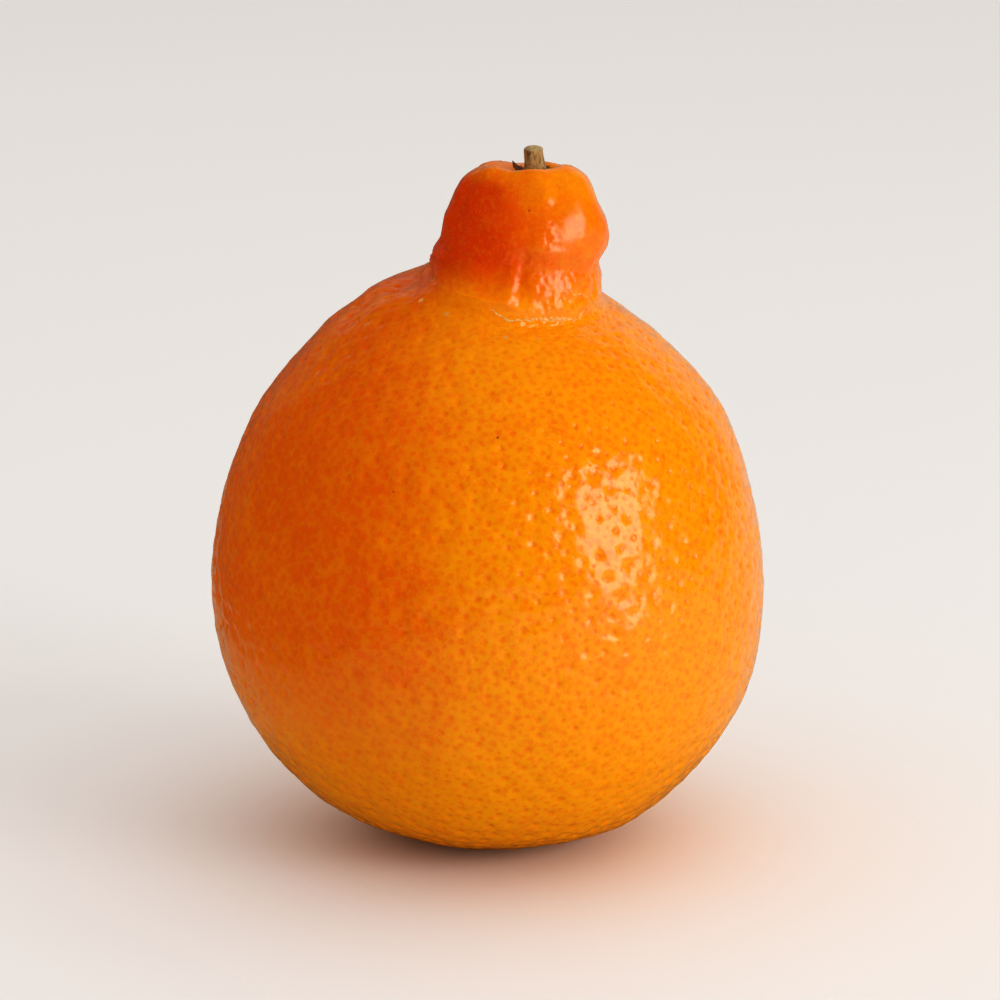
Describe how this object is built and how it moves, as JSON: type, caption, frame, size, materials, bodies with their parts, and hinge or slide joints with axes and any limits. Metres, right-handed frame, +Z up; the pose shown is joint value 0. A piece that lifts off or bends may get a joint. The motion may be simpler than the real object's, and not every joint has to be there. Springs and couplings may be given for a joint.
{
  "type": "tangelo",
  "caption": "Bell-shaped citrus fruit with a knobbly neck, pitted orange peel and a short cut stem in a dried calyx, standing on a small flat spot.",
  "frame": {"origin": "middle of the bounding box, on the plane of the flat spot that the fruit rests on", "axes": "+Z up through the neck, -Y towards the viewer of the picture, +X to the viewer's right"},
  "size_m": [0.0798, 0.0796, 0.1014],
  "materials": {
    "peel": "waxy, pitted citrus peel with a soft gloss",
    "calyx_bark": "dry, dark brown, matt",
    "stem_bark": "dry, rough, matt"
  },
  "bodies": {
    "root": {"fruit": "peel", "calyx": "calyx_bark", "stem": "stem_bark"}
  },
  "joints": []
}
